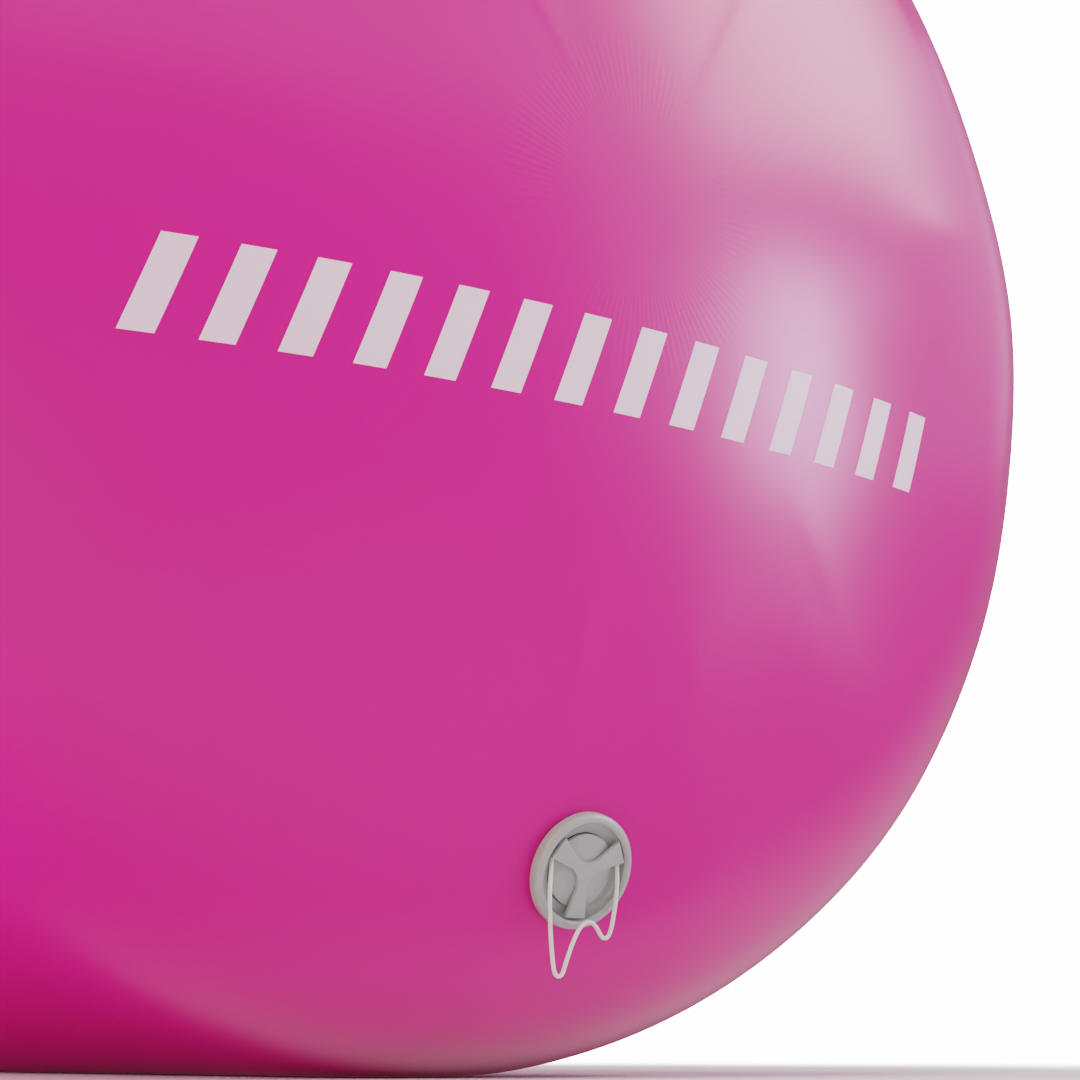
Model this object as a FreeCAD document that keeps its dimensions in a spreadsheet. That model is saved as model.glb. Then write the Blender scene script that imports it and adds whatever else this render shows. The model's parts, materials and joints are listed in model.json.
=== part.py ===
"""Inflatable air barrel (air roller) for gymnastics.

A tube of coated fabric is closed by two domed end panels and lies on its side. The front panel
carries the air valve: a clamped flange with a bowl, a spring-loaded poppet inside, and a screw-in
cap with a three-armed grip and a short cord. A webbing handle is glued to each side.

Frame, in millimetres: +Z up, +Y along the barrel's axis away from the valve, origin on the floor
under the middle. Each valve piece is drawn in the valve's own frame, whose local Z is the valve's
axis pointing outwards, with 0 at the panel's outer face.
"""
import FreeCAD, Part
import Sketcher
import math
import os

doc = FreeCAD.newDocument("air_barrel")
Vector = FreeCAD.Vector
NO_TURN = FreeCAD.Rotation()

# ---------------------------------------------------------------- driving dimensions
SIZES = {
    # air-tight skin
    "barrel_radius": 450.0,
    "axis_height": 447.0,
    "overall_length": 1200.0,
    "dome_rise": 217.0,
    "panel_skirt": 11.0,
    "shoulder_radius": 166.0,
    "skin": 1.2,
    "layer": 1.0,
    "rim_tape_width": 50.0,
    "seam_tape_width": 50.0,
    "seam_angle": 50.0,
    # place of the valve on the front panel
    "valve_tilt": 21.0,
    "land_depth": 2.6,
    # valve housing
    "lip_radius": 30.4,
    "lip_height": 8.4,
    "lip_round": 3.0,
    "bowl_radius": 25.4,
    "bowl_floor": 2.0,
    "bowl_round": 3.6,
    "ledge_radius": 19.6,
    "ledge_height": 0.8,
    "socket_radius": 17.0,
    "socket_floor": -5.5,
    "port_radius": 15.0,
    "port_bottom": -16.0,
    "core_radius": 16.5,
    "neck_radius": 20.0,
    "neck_bottom": -31.0,
    "gasket_radius": 28.2,
    "gasket_height": 0.8,
    # clamp inside the barrel
    "patch_radius": 60.0,
    "nut_radius": 29.0,
    "nut_height": 6.0,
    "nut_notch": 3.2,
    # spring-loaded poppet
    "guide_top": -25.5,
    "guide_height": 3.0,
    "hub_radius": 5.5,
    "hub_height": 4.5,
    "spoke_width": 3.0,
    "stem_radius": 2.0,
    "running_gap": 0.08,
    "button_radius": 6.0,
    "button_top": -16.6,
    "button_height": 1.6,
    "poppet_radius": 19.0,
    "poppet_height": 2.0,
    "poppet_seal_height": 1.6,
    "seat_gap": 0.15,
    "clip_radius": 4.5,
    "clip_height": 1.5,
    "spring_radius": 3.6,
    "spring_wire": 0.8,
    "spring_turns": 4.0,
    # cap
    "plug_radius": 19.2,
    "plug_edge": 4.2,
    "plug_crown": 6.0,
    "plug_underside": 2.4,
    "plug_skirt_radius": 16.6,
    "plug_skirt_bore": 14.0,
    "plug_skirt_bottom": -5.0,
    "plug_floor": 1.6,
    "stub_radius": 4.0,
    "stub_bottom": 3.0,
    "ring_inner_radius": 17.0,
    "ring_outer_radius": 19.3,
    "ring_bottom": 1.1,
    "ring_height": 1.0,
    "grip_tip_radius": 24.4,
    "grip_tip_half_angle": 14.5,
    "grip_notch_radius": 1.6,
    "grip_notch_round": 11.0,
    "grip_height": 2.0,
    "cord_radius": 1.1,
    "boss_radius": 1.45,
    "boss_side": 21.0,
    "boss_foot": 6.5,
    "boss_length": 2.6,
    # carrying handles
    "base_patch_length": 300.0,
    "base_patch_width": 100.0,
    "cover_patch_length": 62.0,
    "cover_patch_width": 74.0,
    "strap_width": 40.0,
    "strap_thickness": 2.4,
    "strap_end": 55.0,
    "arch_half_length": 75.0,
    "arch_rise": 26.0,
    "arch_foot_radius": 15.0,
}

sheet = doc.addObject("Spreadsheet::Sheet", "Sizes")
for row, (alias, value) in enumerate(SIZES.items(), start=1):
    sheet.set("A%d" % row, alias)
    sheet.set("B%d" % row, str(value))
    sheet.setAlias("B%d" % row, alias)
doc.recompute()


def size(alias):
    """The value of one cell of the sheet, in millimetres or degrees."""
    return float(sheet.get(alias))


def bind(thing, **formulas):
    """Binds properties of an object to formulas over the sheet's aliases, written as Sizes.alias."""
    for path, formula in formulas.items():
        thing.setExpression(path.replace("__", "."), formula)


# Places that follow from the sheet.
PANEL_FACE = "(Sizes.overall_length / 2 - Sizes.dome_rise)"
HALF_WALL = size("overall_length") / 2 - size("dome_rise")
CROWN_RISE = size("dome_rise") - size("panel_skirt")
SHOULDER_REACH = size("barrel_radius") - size("shoulder_radius")
CROWN_RADIUS = ((SHOULDER_REACH ** 2 + CROWN_RISE ** 2 - size("shoulder_radius") ** 2)
                / (2 * (CROWN_RISE - size("shoulder_radius"))))
CROWN_CENTRE = size("overall_length") / 2 - CROWN_RADIUS
TILT = math.radians(size("valve_tilt"))
LAND_REACH = size("shoulder_radius") - size("land_depth")
VALVE_CENTRE = Vector(
    0,
    -(HALF_WALL + size("panel_skirt") + LAND_REACH * math.cos(TILT)),
    size("axis_height") - SHOULDER_REACH - LAND_REACH * math.sin(TILT),
)
VALVE = FreeCAD.Placement(VALVE_CENTRE, FreeCAD.Rotation(Vector(1, 0, 0), 90 + size("valve_tilt")))

nodes = []


def node(thing, label):
    """Registers a finished sub-part under the name of its file."""
    thing.Label = label
    nodes.append(thing)
    return thing


def on_valve(u=0.0, v=0.0, w=0.0, turn=NO_TURN):
    """A placement given in the valve's frame."""
    return VALVE.multiply(FreeCAD.Placement(Vector(u, v, w), turn))


# ---------------------------------------------------------------- builders
def closed_profile(body, plane, corners):
    """A closed sketch of straight edges on one of the body's origin planes.

    Each corner is a pair of formulas over the sheet, bound to the sketch's constraints.
    """
    sketch = body.newObject("Sketcher::SketchObject", body.Name + "_profile")
    origin_plane = [f for f in body.Origin.OriginFeatures if f.Role == plane][0]
    sketch.AttachmentSupport = [(origin_plane, "")]
    sketch.MapMode = "FlatFace"
    count = len(corners)
    start = [Vector(50 + 20 * math.cos(2 * math.pi * i / count),
                    20 * math.sin(2 * math.pi * i / count), 0) for i in range(count)]
    for i in range(count):
        sketch.addGeometry(Part.LineSegment(start[i], start[(i + 1) % count]), False)
    for i in range(count):
        sketch.addConstraint(Sketcher.Constraint("Coincident", i, 2, (i + 1) % count, 1))
    for i, (across, along) in enumerate(corners):
        for kind, letter, formula in (("DistanceX", "x", across), ("DistanceY", "y", along)):
            index = sketch.addConstraint(Sketcher.Constraint(kind, -1, 1, i, 1, 1.0))
            name = "%s%d" % (letter, i)
            sketch.renameConstraint(index, name)
            sketch.setExpression("Constraints." + name, formula)
    doc.recompute()
    return sketch


def turned_body(name, corners):
    """A body of revolution about its local Z, from (radius, height) corners."""
    body = doc.addObject("PartDesign::Body", name)
    sketch = closed_profile(body, "XZ_Plane", corners)
    turn = body.newObject("PartDesign::Revolution", name + "_turn")
    turn.Profile = sketch
    turn.ReferenceAxis = (sketch, ["V_Axis"])
    turn.Angle = 360.0
    doc.recompute()
    return body


def round_edges(body, radius_formula, picked):
    """Fillets the edges of the body's last feature that the test picks."""
    base = body.Tip
    names = ["Edge%d" % i for i, edge in enumerate(base.Shape.Edges, start=1) if picked(edge)]
    fillet = body.newObject("PartDesign::Fillet", body.Name + "_round")
    fillet.Base = (base, names)
    fillet.setExpression("Radius", radius_formula)
    doc.recompute()
    return fillet


def ring_at(radius, height):
    """Picks the circular edge of that radius at that height on the local Z axis."""
    def picked(edge):
        curve = edge.Curve
        if not isinstance(curve, Part.Circle):
            return False
        return abs(curve.Radius - radius) < 0.01 and abs(curve.Center.z - height) < 0.01
    return picked


def cylinder(name, radius, height, placement):
    """A Part cylinder whose radius and height are formulas."""
    solid = doc.addObject("Part::Cylinder", name)
    bind(solid, Radius=radius, Height=height)
    solid.Placement = placement
    return solid


def box(name, length, width, height, placement):
    """A Part box whose three sides are formulas."""
    solid = doc.addObject("Part::Box", name)
    bind(solid, Length=length, Width=width, Height=height)
    solid.Placement = placement
    return solid


def cut(name, base, tool):
    result = doc.addObject("Part::Cut", name)
    result.Base = base
    result.Tool = tool
    return result


def common(name, *shapes):
    result = doc.addObject("Part::MultiCommon", name)
    result.Shapes = list(shapes)
    return result


def fuse(name, *shapes):
    result = doc.addObject("Part::MultiFuse", name)
    result.Shapes = list(shapes)
    return result


# ---------------------------------------------------------------- the barrel's form
ROOM = 1400.0  # side of the boxes that cut the form, larger than the barrel


def barrel_form(name, offset):
    """The whole barrel as a solid, its surface moved inwards by the offset.

    A crowned cylinder whose rims are rounded into shoulders, resting on a flat strip, with a flat
    land under the valve.
    """
    tube = doc.addObject("Part::Cylinder", name + "_tube")
    bind(tube, Radius="Sizes.barrel_radius - %g" % offset, Height="Sizes.overall_length")
    tube.Placement = FreeCAD.Placement(
        Vector(0, size("overall_length") / 2, size("axis_height")),
        FreeCAD.Rotation(Vector(1, 0, 0), 90))
    crowns = []
    for side, sign in (("front", -1), ("rear", 1)):
        crown = doc.addObject("Part::Sphere", "%s_%s_crown" % (name, side))
        crown.Radius = CROWN_RADIUS - offset
        crown.Placement = FreeCAD.Placement(
            Vector(0, sign * CROWN_CENTRE, size("axis_height")), NO_TURN)
        crowns.append(crown)
    blank = common(name + "_blank", tube, *crowns)
    doc.recompute()
    body = doc.addObject("PartDesign::Body", name + "_rounded")
    body.BaseFeature = blank
    doc.recompute()
    rim_radius = size("barrel_radius") - offset

    def on_rim(edge):
        curve = edge.Curve
        return isinstance(curve, Part.Circle) and abs(curve.Radius - rim_radius) < 0.01

    round_edges(body, "Sizes.shoulder_radius - %g" % offset, on_rim)
    above_floor = doc.addObject("Part::Box", name + "_above_floor")
    bind(above_floor, Length="%g" % ROOM, Width="%g" % ROOM, Height="%g" % ROOM)
    above_floor.Placement = FreeCAD.Placement(Vector(-ROOM / 2, -ROOM / 2, offset), NO_TURN)
    standing = common(name + "_standing", body, above_floor)
    beyond_land = box(name + "_beyond_land", "200", "200", "60", on_valve(-100, -100, -offset))
    return cut(name, standing, beyond_land)


SKIN = size("skin")
LAYER = size("layer")
STRAP = size("strap_thickness")
form_skin_out = barrel_form("form_skin_out", 0.0)
form_skin_in = barrel_form("form_skin_in", SKIN)
form_tape_in = barrel_form("form_tape_in", SKIN + LAYER)
form_patch_out = barrel_form("form_patch_out", -LAYER)
form_cover_out = barrel_form("form_cover_out", -LAYER - STRAP - LAYER)
skin_shell = cut("skin_shell", form_skin_out, form_skin_in)
inner_layer = cut("inner_layer", form_skin_in, form_tape_in)
outer_layer = cut("outer_layer", form_patch_out, form_skin_out)
cover_layer = cut("cover_layer", form_cover_out, form_patch_out)


def slab(name, y_low, y_high):
    """A slice of space across the barrel's axis."""
    return box(name, "%g" % ROOM, "%g" % (y_high - y_low), "%g" % ROOM,
               FreeCAD.Placement(Vector(-ROOM / 2, y_low, -ROOM / 4), NO_TURN))


# ---------------------------------------------------------------- skin, tapes and patches
wall = common("wall_slice", skin_shell, slab("wall_slab", -HALF_WALL, HALF_WALL))
node(wall, "side_wall")

front_slice = common("front_slice", skin_shell, slab("front_slab", -ROOM / 2, -HALF_WALL))
valve_hole = cylinder("valve_hole", "Sizes.neck_radius + 0.3", "80", on_valve(w=-60))
node(cut("front_panel", front_slice, valve_hole), "front_end_panel")
rear = common("rear_slice", skin_shell, slab("rear_slab", HALF_WALL, ROOM / 2))
node(rear, "rear_end_panel")

HALF_TAPE = size("rim_tape_width") / 2
for side, sign in (("front", -1), ("rear", 1)):
    seam = sign * HALF_WALL
    tape = common(side + "_tape", inner_layer,
                  slab(side + "_tape_slab", seam - HALF_TAPE, seam + HALF_TAPE))
    node(tape, side + "_rim_tape")


def seam_strip(name, half_length):
    """A radial plank of space along the wall's lengthwise seam."""
    angle = size("seam_angle")
    reach = Vector(math.sin(math.radians(angle)), 0, math.cos(math.radians(angle)))
    turn = FreeCAD.Rotation(Vector(0, 1, 0), angle)
    corner = Vector(-size("seam_tape_width") / 2, -half_length, -40)
    base = Vector(0, 0, size("axis_height")) + reach * size("barrel_radius")
    placement = FreeCAD.Placement(base, turn).multiply(FreeCAD.Placement(corner, NO_TURN))
    return box(name, "Sizes.seam_tape_width", "%g" % (2 * half_length), "80", placement)


node(common("seam_outside", outer_layer, seam_strip("seam_strip_outside", HALF_WALL)),
     "wall_seam_tape_outer")
node(common("seam_inside", inner_layer, seam_strip("seam_strip_inside", HALF_WALL - HALF_TAPE)),
     "wall_seam_tape_inner")

patch_core = cylinder("patch_core", "Sizes.patch_radius", "80", on_valve(w=-60))
patch_hole = cylinder("patch_hole", "Sizes.neck_radius + 0.3", "80", on_valve(w=-60))
node(cut("patch_cut", common("patch_disc", inner_layer, patch_core), patch_hole),
     "valve_patch")

# ---------------------------------------------------------------- valve: fixed pieces
housing = turned_body("housing", [
    ("Sizes.port_radius", "Sizes.socket_floor"),
    ("Sizes.socket_radius", "Sizes.socket_floor"),
    ("Sizes.socket_radius", "Sizes.ledge_height"),
    ("Sizes.ledge_radius", "Sizes.ledge_height"),
    ("Sizes.ledge_radius", "Sizes.bowl_floor"),
    ("Sizes.bowl_radius", "Sizes.bowl_floor"),
    ("Sizes.bowl_radius", "Sizes.lip_height - 1.4"),
    ("Sizes.bowl_radius + 1.2", "Sizes.lip_height"),
    ("Sizes.lip_radius", "Sizes.lip_height"),
    ("Sizes.lip_radius", "2"),
    ("Sizes.lip_radius - 1.2", "0"),
    ("Sizes.gasket_radius", "0"),
    ("Sizes.gasket_radius", "Sizes.gasket_height"),
    ("Sizes.neck_radius", "Sizes.gasket_height"),
    ("Sizes.neck_radius", "Sizes.neck_bottom"),
    ("Sizes.core_radius", "Sizes.neck_bottom"),
    ("Sizes.core_radius", "Sizes.port_bottom"),
    ("Sizes.port_radius", "Sizes.port_bottom"),
])
round_edges(housing, "Sizes.lip_round", ring_at(size("lip_radius"), size("lip_height")))
round_edges(housing, "Sizes.bowl_round", ring_at(size("bowl_radius"), size("bowl_floor")))
housing.Placement = on_valve()
node(housing, "valve_housing")

gasket = turned_body("gasket", [
    ("Sizes.neck_radius + 0.3", "0"),
    ("Sizes.gasket_radius", "0"),
    ("Sizes.gasket_radius", "Sizes.gasket_height"),
    ("Sizes.neck_radius + 0.3", "Sizes.gasket_height"),
])
gasket.Placement = on_valve()
node(gasket, "flange_gasket")

NUT_TOP = -(SKIN + LAYER)
NOTCHES = 8
nut_blank = turned_body("nut_blank", [
    ("Sizes.neck_radius", "-Sizes.skin - Sizes.layer - Sizes.nut_height"),
    ("Sizes.nut_radius", "-Sizes.skin - Sizes.layer - Sizes.nut_height"),
    ("Sizes.nut_radius", "-Sizes.skin - Sizes.layer"),
    ("Sizes.neck_radius", "-Sizes.skin - Sizes.layer"),
])
nut_blank.Placement = on_valve()
notch_tools = []
for i in range(NOTCHES):
    angle = 2 * math.pi * i / NOTCHES
    spot = on_valve(size("nut_radius") * math.cos(angle), size("nut_radius") * math.sin(angle),
                    NUT_TOP - size("nut_height") - 1)
    notch_tools.append(cylinder("nut_notch_%d" % i, "Sizes.nut_notch", "Sizes.nut_height + 2", spot))
node(cut("nut_cut", nut_blank, fuse("nut_notches", *notch_tools)), "clamp_nut")

# The stem guide: a ring and a hub joined by three spokes.
SPOKES = 3
guide_ring = turned_body("guide_ring", [
    ("Sizes.core_radius - 2.2", "Sizes.guide_top - Sizes.guide_height"),
    ("Sizes.core_radius", "Sizes.guide_top - Sizes.guide_height"),
    ("Sizes.core_radius", "Sizes.guide_top"),
    ("Sizes.core_radius - 2.2", "Sizes.guide_top"),
])
guide_hub = turned_body("guide_hub", [
    ("Sizes.stem_radius + Sizes.running_gap", "Sizes.guide_top - Sizes.hub_height"),
    ("Sizes.hub_radius", "Sizes.guide_top - Sizes.hub_height"),
    ("Sizes.hub_radius", "Sizes.guide_top"),
    ("Sizes.stem_radius + Sizes.running_gap", "Sizes.guide_top"),
])
guide_ring.Placement = on_valve()
guide_hub.Placement = on_valve()
spokes = []
for i in range(SPOKES):
    turn = FreeCAD.Rotation(Vector(0, 0, 1), 90 + 360.0 * i / SPOKES)
    start = turn.multVec(Vector(size("hub_radius") - 1, -size("spoke_width") / 2, 0))
    low = size("guide_top") - size("guide_height")
    spokes.append(box("guide_spoke_%d" % i, "Sizes.core_radius - Sizes.hub_radius",
                      "Sizes.spoke_width", "Sizes.guide_height",
                      on_valve(start.x, start.y, low, turn)))
node(fuse("guide_fuse", guide_ring, guide_hub, *spokes), "stem_guide")

# ---------------------------------------------------------------- valve: poppet assembly
stem = turned_body("stem", [
    ("0", "Sizes.button_top"),
    ("Sizes.button_radius", "Sizes.button_top"),
    ("Sizes.button_radius", "Sizes.button_top - Sizes.button_height"),
    ("Sizes.stem_radius", "Sizes.button_top - Sizes.button_height"),
    ("Sizes.stem_radius", "Sizes.neck_bottom - 7"),
    ("0", "Sizes.neck_bottom - 7"),
])
round_edges(stem, "0.7", ring_at(size("button_radius"), size("button_top")))
stem.Placement = on_valve()
node(stem, "plunger_stem")

SEAL_TOP = "Sizes.neck_bottom - Sizes.seat_gap"
POPPET_TOP = SEAL_TOP + " - Sizes.poppet_seal_height"
CLIP_TOP = POPPET_TOP + " - Sizes.poppet_height"
seal = turned_body("seal", [
    ("Sizes.stem_radius", POPPET_TOP),
    ("Sizes.poppet_radius + 0.5", POPPET_TOP),
    ("Sizes.poppet_radius + 0.5", SEAL_TOP),
    ("Sizes.stem_radius", SEAL_TOP),
])
seal.Placement = on_valve()
node(seal, "poppet_seal")

poppet = turned_body("poppet", [
    ("Sizes.stem_radius", CLIP_TOP),
    ("Sizes.poppet_radius - 1", CLIP_TOP),
    ("Sizes.poppet_radius", CLIP_TOP + " + 1"),
    ("Sizes.poppet_radius", POPPET_TOP),
    ("Sizes.stem_radius", POPPET_TOP),
])
poppet.Placement = on_valve()
node(poppet, "poppet_disc")

clip = turned_body("clip", [
    ("Sizes.stem_radius", CLIP_TOP + " - Sizes.clip_height"),
    ("Sizes.clip_radius", CLIP_TOP + " - Sizes.clip_height"),
    ("Sizes.clip_radius", CLIP_TOP),
    ("Sizes.stem_radius", CLIP_TOP),
])
clip.Placement = on_valve()
node(clip, "stem_clip")

# The spring pushes the button away from the guide's hub, which pulls the poppet onto its seat.
wire_radius = size("spring_wire") / 2
spring_low = size("guide_top") + wire_radius + 0.1
spring_high = size("button_top") - size("button_height") - wire_radius - 0.1
spring_rise = spring_high - spring_low
spring_pitch = spring_rise / size("spring_turns")
coil = Part.makeHelix(spring_pitch, spring_rise, size("spring_radius"))
coil_start = Vector(size("spring_radius"), 0, 0)
coil_direction = Vector(0, 2 * math.pi * size("spring_radius"), spring_pitch)
wire_section = Part.Wire(Part.Circle(coil_start, coil_direction, wire_radius).toShape())
spring = doc.addObject("Part::Feature", "spring")
spring.Shape = coil.makePipeShell([wire_section], True, True)
spring.Placement = on_valve(w=spring_low)
node(spring, "valve_spring")

# ---------------------------------------------------------------- cap
plug_blank = turned_body("plug_blank", [
    ("0", "Sizes.plug_floor"),
    ("Sizes.plug_skirt_bore", "Sizes.plug_floor"),
    ("Sizes.plug_skirt_bore", "Sizes.plug_skirt_bottom"),
    ("Sizes.plug_skirt_radius", "Sizes.plug_skirt_bottom"),
    ("Sizes.plug_skirt_radius", "Sizes.plug_underside"),
    ("Sizes.plug_radius", "Sizes.plug_underside"),
    ("Sizes.plug_radius", "Sizes.plug_crown"),
    ("Sizes.stub_radius", "Sizes.plug_crown"),
    ("Sizes.stub_radius", "Sizes.stub_bottom"),
    ("0", "Sizes.stub_bottom"),
])
plug_blank.Placement = on_valve()
crown_drop = size("plug_crown") - size("plug_edge")
PLUG_CROWN_RADIUS = (size("plug_radius") ** 2 + crown_drop ** 2) / (2 * crown_drop)
plug_crown = doc.addObject("Part::Sphere", "plug_crown")
plug_crown.Radius = PLUG_CROWN_RADIUS
plug_crown.Placement = on_valve(w=size("plug_crown") - PLUG_CROWN_RADIUS)
node(common("plug_common", plug_blank, plug_crown), "cap_plug")

seal_ring = turned_body("seal_ring", [
    ("Sizes.ring_inner_radius", "Sizes.ring_bottom"),
    ("Sizes.ring_outer_radius", "Sizes.ring_bottom"),
    ("Sizes.ring_outer_radius", "Sizes.ring_bottom + Sizes.ring_height"),
    ("Sizes.ring_inner_radius", "Sizes.ring_bottom + Sizes.ring_height"),
])
seal_ring.Placement = on_valve()
node(seal_ring, "cap_seal_ring")

# The grip: three flared arms at 30, 150 and 270 degrees, with rounded notches between them.
ARMS = 3
grip_corners = []
for i in range(ARMS):
    axis_angle = 30 + 360.0 / ARMS * i
    for sign in (-1, 1):
        tip_angle = "(%g deg + %d * Sizes.grip_tip_half_angle * 1 deg)" % (axis_angle, sign)
        grip_corners.append(("Sizes.grip_tip_radius * cos%s" % tip_angle,
                             "Sizes.grip_tip_radius * sin%s" % tip_angle))
    notch_angle = "(%g deg)" % (axis_angle + 180.0 / ARMS)
    grip_corners.append(("Sizes.grip_notch_radius * cos%s" % notch_angle,
                         "Sizes.grip_notch_radius * sin%s" % notch_angle))
arms = doc.addObject("PartDesign::Body", "arms")
arms_sketch = closed_profile(arms, "XY_Plane", grip_corners)
arms_pad = arms.newObject("PartDesign::Pad", "arms_pad")
arms_pad.Profile = arms_sketch
bind(arms_pad, Length="Sizes.grip_height")
doc.recompute()


def in_notch(edge):
    ends = [vertex.Point for vertex in edge.Vertexes]
    return all(abs(math.hypot(p.x, p.y) - size("grip_notch_radius")) < 0.01 for p in ends)


round_edges(arms, "Sizes.grip_notch_round", in_notch)
arms.Placement = on_valve(w=size("plug_crown"))
stub = cylinder("stub", "Sizes.stub_radius", "Sizes.plug_crown - Sizes.stub_bottom + 0.5",
                on_valve(w=size("stub_bottom")))
BOSS_HEIGHT = size("plug_crown") - size("boss_radius")
toward_top = FreeCAD.Rotation(Vector(1, 0, 0), -90)
bosses = []
for side, sign in (("left", -1), ("right", 1)):
    spot = on_valve(sign * size("boss_side"), size("boss_foot"), BOSS_HEIGHT, toward_top)
    bosses.append(cylinder(side + "_boss", "Sizes.boss_radius", "Sizes.boss_length", spot))
    web = box(side + "_boss_web", "2 * Sizes.boss_radius", "Sizes.boss_length",
              "Sizes.boss_radius + 0.5",
              on_valve(sign * size("boss_side") - size("boss_radius"), size("boss_foot"),
                       BOSS_HEIGHT))
    bosses.append(web)
node(fuse("grip_fuse", arms, stub, *bosses), "cap_grip")

# ---------------------------------------------------------------- cord
# Both ends are held in the bosses under the two upper arms. The route's points are offsets from
# the valve's centre in the barrel's own directions: x to the right, y towards the rear, z up.
foot = [on_valve(sign * size("boss_side"), size("boss_foot"), BOSS_HEIGHT).Base - VALVE_CENTRE
        for sign in (-1, 1)]
cord_route = [
    foot[0],
    Vector(-22.4, -6.9, -5.0),
    Vector(-23.2, -7.3, -15.0),
    Vector(-23.2, -7.5, -27.0),
    Vector(-22.6, -7.5, -38.5),
    Vector(-21.4, -7.5, -48.5),
    Vector(-20.3, -7.5, -53.6),
    Vector(-18.0, -7.5, -54.9),
    Vector(-15.6, -7.5, -54.0),
    Vector(-13.7, -7.5, -49.2),
    Vector(-9.6, -7.5, -39.5),
    Vector(-5.2, -7.5, -31.6),
    Vector(-0.9, -7.5, -27.6),
    Vector(3.6, -7.5, -27.2),
    Vector(7.4, -7.5, -30.4),
    Vector(9.9, -7.5, -34.6),
    Vector(12.3, -7.5, -35.3),
    Vector(14.6, -7.5, -34.2),
    Vector(16.7, -7.5, -29.8),
    Vector(18.9, -7.4, -20.6),
    Vector(20.6, -7.2, -11.0),
    Vector(21.4, -6.9, -3.0),
    foot[1],
]


def cord_tube(route, radius):
    """A round tube along straight runs joined by tangent arcs.

    Each arc takes 0.45 of the shorter run beside it. Returns the solid and the arcs' radii.
    """
    points = [VALVE_CENTRE + p for p in route]
    edges = []
    radii = []
    here = points[0]
    for before, corner, after in zip(points, points[1:], points[2:]):
        back = before - corner
        ahead = after - corner
        reach = 0.45 * min(back.Length, ahead.Length)
        back.normalize()
        ahead.normalize()
        half_turn = (math.pi - back.getAngle(ahead)) / 2
        arc_radius = reach / math.tan(half_turn)
        arc_start = corner + back * reach
        arc_end = corner + ahead * reach
        inwards = back + ahead
        inwards.normalize()
        to_centre = math.hypot(reach, arc_radius)
        arc_middle = corner + inwards * (to_centre - arc_radius)
        edges.append(Part.LineSegment(here, arc_start).toShape())
        edges.append(Part.Arc(arc_start, arc_middle, arc_end).toShape())
        radii.append(arc_radius)
        here = arc_end
    edges.append(Part.LineSegment(here, points[-1]).toShape())
    path = Part.Wire(edges)
    first = points[1] - points[0]
    ring = Part.Wire(Part.Circle(points[0], first, radius).toShape())
    tube = path.makePipeShell([ring], True, True)
    return tube, radii, path.Length


cord_shape, cord_radii, cord_length = cord_tube(cord_route, size("cord_radius"))
cord = doc.addObject("Part::Feature", "cord")
cord.Shape = cord_shape
node(cord, "cap_cord")

# ---------------------------------------------------------------- carrying handles
RISE = size("arch_rise")
SPAN = size("arch_half_length")
ARCH_ANGLE = 2 * math.atan(RISE / SPAN)
ARCH_RADIUS = SPAN / math.sin(ARCH_ANGLE) - size("arch_foot_radius")
STRAP_END = SPAN + size("strap_end")
HALF_STRAP = size("strap_width") / 2


def strap_side(offset):
    """One side of the strap's outline in the plane of (along, out), from its left end to its right."""
    foot_radius = size("arch_foot_radius") - offset
    top_radius = ARCH_RADIUS + offset
    foot_centre = Vector(-SPAN, size("arch_foot_radius"), 0)
    top_centre = Vector(0, RISE - ARCH_RADIUS, 0)

    def around(centre, radius, angle):
        return centre + Vector(radius * math.sin(angle), -radius * math.cos(angle), 0)

    foot_low = around(foot_centre, foot_radius, 0)
    foot_mid = around(foot_centre, foot_radius, ARCH_ANGLE / 2)
    joint = around(foot_centre, foot_radius, ARCH_ANGLE)
    top = top_centre + Vector(0, top_radius, 0)

    def mirrored(point):
        return Vector(-point.x, point.y, 0)

    return [
        Part.LineSegment(Vector(-STRAP_END, offset, 0), foot_low),
        Part.Arc(foot_low, foot_mid, joint),
        Part.Arc(joint, top, mirrored(joint)),
        Part.Arc(mirrored(joint), mirrored(foot_mid), mirrored(foot_low)),
        Part.LineSegment(mirrored(foot_low), Vector(STRAP_END, offset, 0)),
    ]


def strap_solid():
    """The strap in its own frame: X along it, Y away from the barrel, Z across it, centred."""
    half = STRAP / 2
    low = Vector(0, 0, -HALF_STRAP)
    inner = [piece.toShape() for piece in strap_side(-half)]
    outer = [piece.toShape() for piece in strap_side(half)]
    ends = [Part.LineSegment(Vector(sign * STRAP_END, -half, 0),
                             Vector(sign * STRAP_END, half, 0)).toShape() for sign in (-1, 1)]
    edges = [edge.translated(low) for edge in inner + outer + ends]
    outline = Part.Wire(Part.__sortEdges__(edges))
    return Part.Face(outline).extrude(Vector(0, 0, size("strap_width")))


def side_box(name, sign, along, length, width):
    """A block of space on one side of the barrel, centred at mid height."""
    corner = Vector(min(sign * 380, sign * 520), along - length / 2, size("axis_height") - width / 2)
    return box(name, "140", "%g" % length, "%g" % width, FreeCAD.Placement(corner, NO_TURN))


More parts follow.
